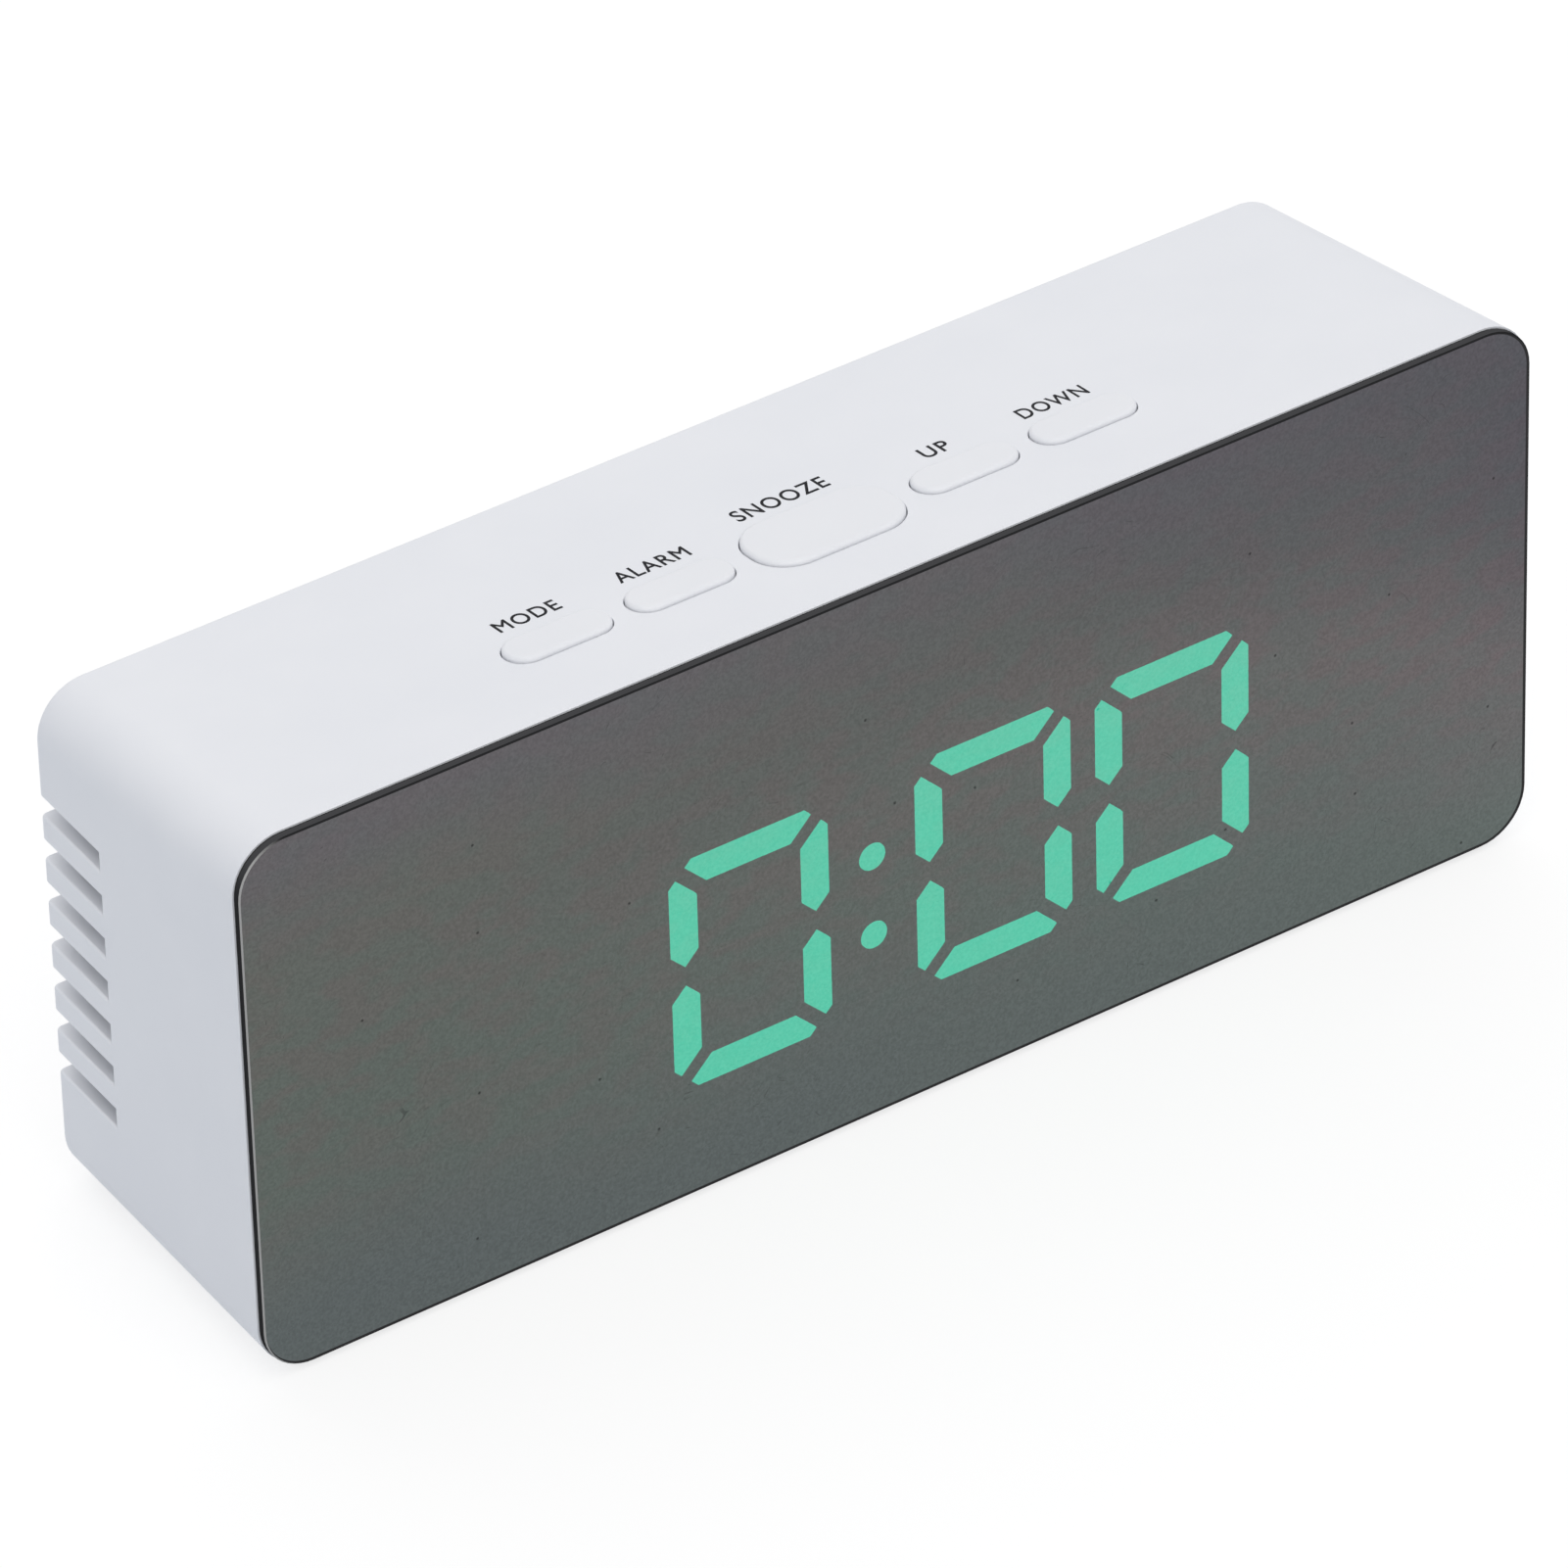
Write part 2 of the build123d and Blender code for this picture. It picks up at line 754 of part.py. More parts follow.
with BuildPart() as capacitors:
    with BuildSketch(front_plane(board_rear_y)):
        with Locations((capacitor_x, display_z + capacitor_rise)):
            with GridLocations(capacitor_pitch, 0, 2, 1):
                Circle(capacitor_diameter / 2)
    extrude(amount=-capacitor_height)

with BuildPart() as buzzer:
    with BuildSketch(front_plane(board_rear_y)):
        with Locations((buzzer_x, display_z)):
            Circle(buzzer_diameter / 2)
    extrude(amount=-buzzer_height)
    with BuildSketch(front_plane(board_rear_y + buzzer_height)):
        with Locations((buzzer_x, display_z)):
            Circle(buzzer_port / 2)
    extrude(amount=buzzer_port_depth, mode=Mode.SUBTRACT)

with BuildPart() as thermistor:
    with BuildSketch(front_plane(board_rear_y)):
        with Locations((thermistor_x, display_z)):
            with GridLocations(thermistor_pitch, 0, 2, 1):
                Circle(thermistor_lead / 2)
    extrude(amount=-thermistor_reach)
    with Locations((thermistor_x, board_rear_y + thermistor_reach, display_z)):
        Sphere(thermistor_radius)

with BuildPart() as button_board:
    with BuildSketch(top_plane.offset(-button_board_top)):
        Rectangle(button_board_length, button_board_width)
        with Locations(*button_boss_places):
            Circle(small_screw_diameter / 2 + screw_clearance, mode=Mode.SUBTRACT)
    extrude(amount=-button_board_thickness)

switch_places = [(x, 0) for x in button_places.values()]
with BuildPart() as switch_bodies:
    with BuildSketch(top_plane.offset(-button_board_top)):
        with Locations(*switch_places):
            Rectangle(switch_size, switch_size)
    extrude(amount=switch_height)
    with BuildSketch(top_plane.offset(-switch_top)):
        with Locations(*switch_places):
            Circle(plunger_diameter / 2 + plunger_clearance)
    extrude(amount=-(plunger_sunk + button_travel + plunger_spare), mode=Mode.SUBTRACT)

plungers = {}
buttons = {}
for name, x in button_places.items():
    with BuildPart() as plunger:
        with BuildSketch(top_plane.offset(-stem_end)):
            with Locations((x, 0)):
                Circle(plunger_diameter / 2)
        extrude(amount=-(plunger_proud + plunger_sunk))
    plungers[name] = plunger
    with BuildPart() as button:
        with BuildSketch(top_plane.offset(button_proud)):
            with Locations((x, 0)):
                button_outline(name, 0)
        extrude(amount=-(button_proud + flange_top + flange_thickness))
        fillet(button.faces().filter_by(top_plane).sort_by(Axis.Z)[-1].edges(), button_edge_radius)
        with BuildSketch(top_plane.offset(-flange_top)):
            with Locations((x, 0)):
                button_outline(name, flange_reach)
        extrude(amount=-flange_thickness)
        with BuildSketch(top_plane.offset(-flange_top)):
            with Locations((x, 0)):
                Circle(stem_diameter / 2)
        extrude(amount=flange_top - stem_end)
    buttons[name] = button

ribbon_start = top_plane.from_local_coords((ribbon_x, ribbon_back, -button_board_bottom))
ribbon_end_z = display_z + board_height / 2 - ribbon_from_edge
ribbon_drop = (ribbon_start.Z - ribbon_end_z) / cos(top_angle)
ribbon_turn = top_plane.from_local_coords((ribbon_x, ribbon_back, -button_board_bottom - ribbon_drop))
with BuildPart() as button_ribbon:
    with BuildLine() as ribbon_route:
        FilletPolyline(
            ribbon_start,
            ribbon_turn,
            (ribbon_x, board_rear_y, ribbon_end_z),
            radius=ribbon_bend,
        )
    with BuildSketch(Plane(origin=ribbon_route.line @ 0, x_dir=(1, 0, 0), z_dir=ribbon_route.line % 0)):
        Rectangle(ribbon_width, ribbon_thickness)
    sweep()

with BuildPart() as battery_door:
    with BuildSketch(front_plane(rear_y - door_thickness)):
        with Locations((0, (hinge_z + door_top) / 2)):
            Rectangle(door_width, door_top - hinge_z)
    extrude(amount=-door_thickness)
    with BuildSketch(Plane.YZ):
        with Locations((hinge_y, hinge_z)):
            Circle(door_thickness / 2)
    extrude(amount=door_width / 2, both=True)
    with BuildSketch(Plane.YZ):
        with Locations((hinge_y, hinge_z)):
            Circle(pin_radius)
    extrude(amount=door_width / 2 + pin_length, both=True)
    # Slots that free the latch tongue, and its grip lines
    with BuildSketch(front_plane(rear_y)):
        with Locations(*[(side * tongue_width / 2, door_top) for side in (-1, 1)]):
            Rectangle(tongue_slot, 2 * tongue_length)
    extrude(amount=door_thickness, mode=Mode.SUBTRACT)
    with BuildSketch(front_plane(rear_y)):
        with Locations((0, door_top - tongue_length / 2)):
            with GridLocations(0, grip_pitch, 1, grip_count):
                Rectangle(grip_length, grip_width)
    extrude(amount=grip_depth, mode=Mode.SUBTRACT)

with BuildPart() as battery_cells:
    for height, way in zip(cell_heights, cell_ways):
        plus_x = way * (bay_length / 2 - contact_thickness)
        with BuildSketch(Plane.YZ.offset(plus_x - way * nub_height)):
            with Locations((cell_y, height)):
                Circle(cell_diameter / 2)
        extrude(amount=-way * (cell_length - nub_height))
    rims = battery_cells.edges().filter_by(GeomType.CIRCLE)
    fillet(rims, cell_edge_radius)
    for height, way in zip(cell_heights, cell_ways):
        plus_x = way * (bay_length / 2 - contact_thickness)
        with BuildSketch(Plane.YZ.offset(plus_x)):
            with Locations((cell_y, height)):
                Circle(nub_diameter / 2)
        extrude(amount=-way * 2 * nub_height)

with BuildPart() as battery_springs:
    for height, way in zip(cell_heights, cell_ways):
        spring_x = way * (contact_thickness - bay_length / 2)
        quarter_turns = [
            coil_point(index * pi / 2, spring_x, height, way) for index in range(4 * spring_turns + 1)
        ]
        with BuildLine() as coil:
            for (start, start_way), (end, end_way) in zip(quarter_turns, quarter_turns[1:]):
                add_biarc(start, start_way, end, end_way)
        with BuildSketch(Plane(origin=coil.line @ 0, z_dir=coil.line % 0)):
            Circle(spring_wire / 2)
        sweep()

coil_middle = [
    coil_point(index * 2 * pi * spring_turns / gap_samples, 0, 0, 1)[0] for index in range(gap_samples + 1)
]
turn_samples = gap_samples // spring_turns
coil_gaps = [
    (coil_middle[later] - coil_middle[earlier]).length - spring_wire
    for earlier in range(gap_samples + 1)
    for later in range(earlier + turn_samples // 2, gap_samples + 1)
]
print("battery spring, least gap between turns:", round(min(coil_gaps), 3), "mm")

with BuildPart() as end_contacts:
    for way, height in ((-1, cell_heights[0]), (-cell_ways[-1], cell_heights[-1])):
        with BuildSketch(Plane.YZ.offset(way * bay_length / 2)):
            with Locations((cell_y, height)):
                Rectangle(contact_width, contact_width)
            with Locations(((cell_y + bay_front_y - tab_proud) / 2, height)):
                Rectangle(cell_y - bay_front_y + tab_proud, tab_width)
        extrude(amount=-way * contact_thickness)

with BuildPart() as bridge_contacts:
    for index in range(cell_count - 1):
        way = -cell_ways[index]
        with BuildSketch(Plane.YZ.offset(way * bay_length / 2)):
            with Locations((cell_y, (cell_heights[index] + cell_heights[index + 1]) / 2)):
                Rectangle(contact_width, contact_width + cell_pitch)
        extrude(amount=-way * contact_thickness)

with BuildPart() as power_board:
    with BuildSketch(front_plane(power_board_rear_y)):
        with Locations((socket_x, socket_z)):
            Rectangle(power_board_width, power_board_height)
        with Locations(*power_post_places):
            Circle(small_screw_diameter / 2 + screw_clearance, mode=Mode.SUBTRACT)
    extrude(amount=power_board_thickness)

with BuildPart() as socket_shell:
    with BuildSketch(front_plane(power_board_rear_y)):
        with Locations((socket_x, socket_z)):
            RectangleRounded(socket_width, socket_thickness, socket_corner)
            RectangleRounded(
                socket_width - 2 * socket_sheet,
                socket_thickness - 2 * socket_sheet,
                socket_corner - socket_sheet,
                mode=Mode.SUBTRACT,
            )
    extrude(amount=-socket_depth)

with BuildPart() as socket_insert:
    with BuildSketch(front_plane(power_board_rear_y)):
        with Locations((socket_x, socket_z)):
            Rectangle(
                socket_width - 2 * (socket_corner + insert_gap),
                socket_thickness - 2 * (socket_sheet + insert_gap),
            )
    extrude(amount=-insert_base)
    with BuildSketch(front_plane(power_board_rear_y)):
        with Locations((socket_x, socket_z)):
            Rectangle(insert_tongue_width, insert_tongue_thickness)
    extrude(amount=-(insert_base + insert_tongue_length))

with BuildPart() as foot_pads:
    with BuildSketch(Plane.XY):
        with Locations(*foot_places):
            Circle(foot_diameter / 2)
    extrude(amount=foot_thickness)

case_screws = screw_group(
    front_plane(meet_y + seat_thickness),
    -1,
    case_screw_places,
    case_screw_head,
    case_screw_head_height,
    case_screw_diameter,
    case_screw_length,
)
board_screws = screw_group(
    front_plane(board_rear_y),
    -1,
    post_places,
    small_screw_head,
    small_screw_head_height,
    small_screw_diameter,
    small_screw_length,
)
power_board_screws = screw_group(
    front_plane(power_board_front_y),
    1,
    power_post_places,
    small_screw_head,
    small_screw_head_height,
    small_screw_diameter,
    small_screw_length,
)
button_board_screws = screw_group(
    top_plane.offset(-button_board_bottom),
    -1,
    button_boss_places,
    small_screw_head,
    small_screw_head_height,
    small_screw_diameter,
    small_screw_length,
)

tab_x = (bay_length - contact_thickness) / 2
tab_end_y = bay_front_y - tab_proud
battery_lead_red = lead_part(-tab_x, tab_end_y, cell_heights[0], battery_lead_drop)
battery_lead_black = lead_part(-cell_ways[-1] * tab_x, tab_end_y, cell_heights[-1], -battery_lead_drop)
power_lead_middle = socket_x - power_lead_offset
power_lead_z = socket_z - power_lead_start
power_lead_red = lead_part(
    power_lead_middle - power_lead_pitch / 2, power_board_front_y, power_lead_z, -power_lead_drop
)
power_lead_black = lead_part(
    power_lead_middle + power_lead_pitch / 2, power_board_front_y, power_lead_z, -power_lead_drop
)

pieces = {
    "main_case": main_case,
    "front_frame": front_frame,
    "mirror_panel": mirror_panel,
    "panel_tape": panel_tape,
    "display_block": display_block,
    "hour_tens_lenses": hour_tens_lenses,
    "hour_lenses": hour_lenses,
    "minute_tens_lenses": minute_tens_lenses,
    "minute_lenses": minute_lenses,
    "middle_lenses": middle_lenses,
    "colon_lenses": colon_lenses,
    "main_board": main_board,
    "led_chips": led_chips,
    "controller_chip": controller_chip,
    "crystal_can": crystal_can,
    "capacitors": capacitors,
    "buzzer": buzzer,
    "thermistor": thermistor,
    "button_board": button_board,
    "switch_bodies": switch_bodies,
    "button_ribbon": button_ribbon,
    "battery_door": battery_door,
    "battery_cells": battery_cells,
    "battery_springs": battery_springs,
    "end_contacts": end_contacts,
    "bridge_contacts": bridge_contacts,
    "power_board": power_board,
    "socket_shell": socket_shell,
    "socket_insert": socket_insert,
    "foot_pads": foot_pads,
    "case_screws": case_screws,
    "board_screws": board_screws,
    "power_board_screws": power_board_screws,
    "button_board_screws": button_board_screws,
    "battery_lead_red": battery_lead_red,
    "battery_lead_black": battery_lead_black,
    "power_lead_red": power_lead_red,
    "power_lead_black": power_lead_black,
}
for name in button_places:
    pieces[name + "_button"] = buttons[name]
    pieces[name + "_plunger"] = plungers[name]

os.makedirs("parts", exist_ok=True)
for name, piece in pieces.items():
    piece.part.label = name
    export_step(piece.part, f"parts/{name}.step")
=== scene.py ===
"""Looks of the mirror alarm clock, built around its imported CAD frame.

Lengths are in metres, in the frame of the CAD model: X to the right, the mirror faces -Y, Z up.
Colours are linear. Shares run from 0 to 1.
"""

import json
from math import radians

import bpy
import numpy as np
from mathutils import Matrix, Vector


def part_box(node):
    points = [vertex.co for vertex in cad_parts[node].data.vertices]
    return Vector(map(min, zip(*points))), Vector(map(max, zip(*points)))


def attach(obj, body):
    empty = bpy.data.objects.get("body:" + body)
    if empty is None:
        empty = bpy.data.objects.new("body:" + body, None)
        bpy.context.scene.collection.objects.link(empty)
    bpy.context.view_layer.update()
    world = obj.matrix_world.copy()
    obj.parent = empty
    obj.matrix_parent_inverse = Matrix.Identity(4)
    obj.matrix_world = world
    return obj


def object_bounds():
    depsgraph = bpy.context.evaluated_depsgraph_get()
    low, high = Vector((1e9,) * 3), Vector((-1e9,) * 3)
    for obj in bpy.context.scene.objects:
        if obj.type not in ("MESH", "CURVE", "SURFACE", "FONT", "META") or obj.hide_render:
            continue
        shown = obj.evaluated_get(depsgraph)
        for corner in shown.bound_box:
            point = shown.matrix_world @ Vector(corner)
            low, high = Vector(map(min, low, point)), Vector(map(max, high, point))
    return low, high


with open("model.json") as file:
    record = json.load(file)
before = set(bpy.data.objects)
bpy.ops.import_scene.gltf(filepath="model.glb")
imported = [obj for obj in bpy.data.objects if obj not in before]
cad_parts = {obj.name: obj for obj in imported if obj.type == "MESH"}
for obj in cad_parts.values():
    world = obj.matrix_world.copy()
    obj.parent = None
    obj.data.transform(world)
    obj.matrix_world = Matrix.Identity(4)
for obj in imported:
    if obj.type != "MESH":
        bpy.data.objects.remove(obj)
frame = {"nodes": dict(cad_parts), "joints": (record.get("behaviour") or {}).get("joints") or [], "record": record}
cad_low, cad_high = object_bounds()
cad_nodes = frame["nodes"]
joints = {joint["name"]: joint for joint in frame["joints"]}
scene = bpy.context.scene

MM = 0.001

# Ranges that most noise values fill
usual_noise = (0.3, 0.7)
wide_noise = (0.2, 0.8)

# Camera, solved from the outline of the clock in a square picture
image_pixels = 1601
focal_pixels = 13188.8
sensor_width = 36.0
view_depth = 100.0
camera_place = Vector((-556.09, -823.98, 732.09)) * MM
camera_aim = Vector((-13.70, -18.75, 42.78)) * MM
camera_roll = radians(-1.659)

# Studio light; each lamp has a strength, the way to it, and whether it shows as gloss
sky_strength = 0.5
sky_colour = (0.97, 0.99, 1.04, 1)
lamp_colour = (1.02, 1.005, 0.965)
lamp_spread = radians(70)
lamps = {
    "front_lamp": (1.26, Vector((-0.2, -0.52, 0.83)), True),
    "rear_lamp": (0.6, Vector((0.35, 0.6, 0.72)), False),
}

# Floor: its colour for the light it throws back, and as it is seen a shaded share and a glow that
# brings it up to white where the light on it, open_light, is not blocked
floor_half = 4.0
floor_colour = (0.715, 0.755, 0.8, 1)
floor_shaded_share = 0.3
open_light = 0.88
white = (1, 1, 1, 1)

# Words on the top: text, width, distance right of its button's middle and behind the mirror's front
letter_height = 2.05 * MM
snooze_letter_height = 2.2 * MM
type_size_share = 1.4
word_thickness = 0.03 * MM
word_sink = 0.01 * MM
word_swell = 0.03 * MM
word_spacing = 1.12
ink_gloss = 0.12
words = {
    "mode": ("MODE", 6.9 * MM, 0.12 * MM, 17.9 * MM),
    "alarm": ("ALARM", 8.0 * MM, 0.34 * MM, 17.9 * MM),
    "snooze": ("SNOOZE", 10.4 * MM, 0.09 * MM, 19.9 * MM),
    "up": ("UP", 3.1 * MM, 0.18 * MM, 17.7 * MM),
    "down": ("DOWN", 7.6 * MM, -0.08 * MM, 17.55 * MM),
}

# Mirror sheet: its chamfer and corners, the bare margin round the silver, the window over the display, and the
# painted highlight on the chamfer and painted light on the edge
panel_low, panel_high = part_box("mirror_panel")
chamfer_depth = 0.15 * MM
panel_corner = 5.28 * MM
bare_margin = 0.16 * MM
silver_end_blur = 0.02 * MM
mirror_clear_share = 0.2
window_margin = 4.5 * MM
window_fade = 3.0 * MM
bare_colour = (0.025, 0.025, 0.026, 1)
chamfer_dark = (0.022, 0.022, 0.023, 1)
# The chamfer's lighter colour, where it faces left, is a painted highlight for the bright surroundings it reflects
chamfer_painted_highlight = (0.38, 0.375, 0.365, 1)
edge_dark = (0.03, 0.03, 0.031, 1)
# The edge's lighter colour, where it faces up, is painted light falling from above
edge_painted_top_light = (0.06, 0.06, 0.063, 1)
front_slack = 0.02 * chamfer_depth
back_slack = 0.05 * chamfer_depth
# Facing to the left over which the chamfer's painted highlight comes in
painted_highlight_facing = (-0.08, -0.5)
# Facing upwards over which the edge's painted top light comes in
up_facing = (0.2, 0.7)

# Tints of the mirror's front, partly the thin coating's own tint and partly painted reflection (lighter low down,
# darker towards the upper right); each one's share of the height at the left and right ends
coating_and_reflection_tints = {
    "teal": (0.109, 0.126, 0.127, 1),
    "sage": (0.117, 0.13, 0.121, 1),
    "olive": (0.121, 0.126, 0.118, 1),
    "mauve": (0.123, 0.119, 0.126, 1),
    "plum": (0.104, 0.1, 0.11, 1),
    "pale_teal": (0.122, 0.144, 0.137, 1),
    "rose": (0.14, 0.127, 0.133, 1),
    "violet": (0.09, 0.087, 0.101, 1),
}
left_tints = ((0.05, "teal"), (0.35, "sage"), (0.8, "olive"), (1.0, "mauve"))
right_tints = ((0.12, "pale_teal"), (0.44, "rose"), (0.66, "plum"), (0.92, "violet"))
tint_stretch = (0.5, 1.0, 1.0)
wander_scale = 45.0
wander_reach = 0.1
slant_start = 0.7
slant_low, slant_high = -0.12, 0.05
right_tint_power = 1.6
patch_scale = 380.0
patch_rim = (0.42, 0.58)
patch_rise = (0.1, 0.4)
patch_fall = (0.95, 0.65)
patch_top_share = 0.4
rose_patch = (1.045, 0.975, 0.98, 1)
green_patch = (0.955, 1.025, 1.0, 1)
grain_scale_silver = 3600.0
grain_low, grain_high = 0.9, 1.1
silver_smoothest, silver_roughest = 0.05, 0.09
mirror_marks = {"Speck Scale": 70.0, "Speck Size": 0.013, "Scratch Scale": 8000.0}
speck_share, speck_colour = 0.7, (0.016, 0.016, 0.016, 1)
scratch_share, scratch_colour = 0.5, (0.033, 0.033, 0.033, 1)

# Lit lenses: the two shades of the mottled glow and of the resin itself
glow_strength = 2.24
glow_shades = ((0.0, 0.97, 0.6, 1), (0.0, 1.0, 0.625, 1))
resin_shades = ((0.02, 0.09, 0.06, 1), (0.025, 0.1, 0.07, 1))
resin_mottle_scale = 700.0
resin_roughness = 0.35

# Cells: bands of the jacket in shares of the half length, from the middle towards the plus pole
ring_middle, ring_half = 0.52, 0.035
pale_start, pale_end = 0.62, 0.63
bare_start, bare_end = 0.955, 0.96
jacket_streaks = {
    "Light Colour": (0.075, 0.095, 0.125, 1),
    "Dark Colour": (0.06, 0.078, 0.105, 1),
    "Streak Scale": (60.0, 900.0, 900.0),
    "Smoothest": 0.28,
    "Roughest": 0.38,
}
ring_colour = (0.7, 0.71, 0.72, 1)
pale_colour = (0.36, 0.38, 0.4, 1)
bare_metal = (0.6, 0.59, 0.56, 1)
jacket_bump = 0.1
jacket_relief = 0.01 * MM
cell_rows = 3

# Circuit boards
resist_colour = (0.012, 0.11, 0.045, 1)
track_colour = (0.02, 0.19, 0.075, 1)
track_cell_scale = 420.0
track_cell_scatter = 0.8
tracks_per_cell = 4.0
track_rim = (0.24, 0.27)
track_bump = 0.4
track_height = 0.03 * MM
resist_mottle_scale = 900.0
resist_darkest = 0.75
board_roughness = 0.3

# Moulded pieces: light and dark shade, smoothest and roughest, then grain scale and bump if not the usual
drift_scale = 90.0
usual_grain_scale = 5200.0
usual_bump = 0.2
grain_height = 0.02 * MM
moulded_looks = {
    "case_white": ((0.805, 0.815, 0.85), (0.785, 0.797, 0.835), 0.4, 0.55),
    "button_white": ((0.81, 0.818, 0.848), (0.795, 0.805, 0.838), 0.45, 0.58, 6500.0, 0.12),
    "tape_black": ((0.01, 0.01, 0.01), (0.006, 0.006, 0.006), 0.8, 0.95, 2400.0, 0.5),
    "frame_black": ((0.012, 0.012, 0.013), (0.008, 0.008, 0.009), 0.45, 0.6),
    "lens_idle": ((0.018, 0.02, 0.02), (0.014, 0.016, 0.016), 0.2, 0.3),
    "chip_black": ((0.02, 0.02, 0.022), (0.013, 0.013, 0.015), 0.4, 0.55),
    "led_white": ((0.7, 0.66, 0.4), (0.62, 0.58, 0.34), 0.2, 0.3),
    "foot_rubber": ((0.03, 0.03, 0.032), (0.02, 0.02, 0.022), 0.7, 0.9, 3000.0, 0.4),
    "lead_red": ((0.42, 0.012, 0.01), (0.34, 0.009, 0.008), 0.35, 0.5),
    "lead_black": ((0.014, 0.014, 0.014), (0.009, 0.009, 0.009), 0.35, 0.5),
    "ribbon_grey": ((0.27, 0.27, 0.285), (0.22, 0.22, 0.235), 0.4, 0.55),
    "bead_blue": ((0.006, 0.02, 0.09), (0.004, 0.014, 0.07), 0.15, 0.25),
    "label_ink": ((0.014, 0.014, 0.017), (0.009, 0.009, 0.012), 0.5, 0.7),
}

# Metal pieces: light and dark shade, streaks for each metre along X, Y and Z, smoothest and roughest
metal_bump = 0.15
metal_looks = {
    "can_metal": ((0.66, 0.66, 0.65), (0.55, 0.55, 0.55), (200.0, 2600.0, 2600.0), 0.22, 0.34),
    "nickel_contact": ((0.7, 0.68, 0.62), (0.6, 0.58, 0.53), (900.0, 2200.0, 300.0), 0.15, 0.28),
    "screw_steel": ((0.5, 0.5, 0.51), (0.4, 0.4, 0.41), (2600.0, 200.0, 2600.0), 0.25, 0.4),
}


def node(tree, kind, inputs=None, **settings):
    """Adds a shader node, with its settings, and fills its inputs with values or links."""
    made = tree.nodes.new(kind)
    for name, value in settings.items():
        setattr(made, name, value)
    for key, value in (inputs or {}).items():
        if isinstance(value, bpy.types.NodeSocket):
            tree.links.new(value, made.inputs[key])
        else:
            made.inputs[key].default_value = value
    return made


def maths(tree, operation, *values, clamp=False):
    """One Math node; its inputs are values or links."""
    inputs = dict(enumerate(values))
    return node(tree, "ShaderNodeMath", inputs, operation=operation, use_clamp=clamp).outputs[0]


def vector_maths(tree, operation, *values):
    """One Vector Math node; its inputs are vectors or links. Returns the node's outputs."""
    return node(tree, "ShaderNodeVectorMath", dict(enumerate(values)), operation=operation).outputs


def mix_colours(tree, factor, first, second, blend="MIX"):
    """One Mix node, by its colour sockets, which are inputs 6 and 7 and output 2."""
    inputs = {0: factor, 6: first, 7: second}
    return node(tree, "ShaderNodeMix", inputs, data_type="RGBA", blend_type=blend).outputs[2]


def spread(tree, value, low, high, new_low=0.0, new_high=1.0):
    """Map Range from low..high to new_low..new_high, clamped."""
    inputs = {"Value": value, "From Min": low, "From Max": high, "To Min": new_low, "To Max": new_high}
    return node(tree, "ShaderNodeMapRange", inputs).outputs[0]


def noise(tree, vector, scale, detail=3.0, roughness=0.5):
    """Noise value between 0 and 1."""
    inputs = {"Vector": vector, "Scale": scale, "Detail": detail, "Roughness": roughness}
    return node(tree, "ShaderNodeTexNoise", inputs).outputs[0]


def object_place(tree):
    """Place on the piece, in object coordinates."""
    return node(tree, "ShaderNodeTexCoord").outputs["Object"]


def new_group(name, inputs, outputs):
    """An empty shader node group with named sockets; returns the tree, its inputs and its output node."""
    tree = bpy.data.node_groups.new(name, "ShaderNodeTree")
    for way, sockets in (("INPUT", inputs), ("OUTPUT", outputs)):
        for label, kind in sockets.items():
            tree.interface.new_socket(label, in_out=way, socket_type=f"NodeSocket{kind}")
    entry = tree.nodes.new("NodeGroupInput")
    leave = tree.nodes.new("NodeGroupOutput")
    return tree, entry.outputs, leave


def put_out(tree, leave, values):
    """Links the named values to a group's outputs."""
    for label, value in values.items():
        tree.links.new(value, leave.inputs[label])


def make_moulded_finish():
    """Moulded plastic: a slow drift between two shades, and a fine matt grain in height and roughness."""
    tree, given, leave = new_group(
        "moulded_finish",
        {
            "Light Colour": "Color",
            "Dark Colour": "Color",
            "Drift Scale": "Float",
            "Grain Scale": "Float",
            "Smoothest": "Float",
            "Roughest": "Float",
        },
        {"Colour": "Color", "Roughness": "Float", "Height": "Float"},
    )
    place = object_place(tree)
    drift = spread(tree, noise(tree, place, given["Drift Scale"]), *usual_noise)
    grain = noise(tree, place, given["Grain Scale"], detail=2.0)
    colour = mix_colours(tree, drift, given["Dark Colour"], given["Light Colour"])
    roughness = spread(tree, grain, *usual_noise, given["Smoothest"], given["Roughest"])
    put_out(tree, leave, {"Colour": colour, "Roughness": roughness, "Height": grain})
    return tree


def make_metal_finish():
    """Sheet or turned metal: streaks of noise drawn out along one axis, in colour, roughness and height."""
    tree, given, leave = new_group(
        "metal_finish",
        {
            "Light Colour": "Color",
            "Dark Colour": "Color",
            "Streak Scale": "Vector",
            "Smoothest": "Float",
            "Roughest": "Float",
        },
        {"Colour": "Color", "Roughness": "Float", "Height": "Float"},
    )
    stretch = {"Vector": object_place(tree), "Scale": given["Streak Scale"]}
    drawn = node(tree, "ShaderNodeMapping", stretch).outputs[0]
    streaks = noise(tree, drawn, 1.0, detail=4.0, roughness=0.6)
    even = spread(tree, streaks, *usual_noise)
    colour = mix_colours(tree, even, given["Dark Colour"], given["Light Colour"])
    roughness = spread(tree, streaks, *usual_noise, given["Smoothest"], given["Roughest"])
    put_out(tree, leave, {"Colour": colour, "Roughness": roughness, "Height": streaks})
    return tree


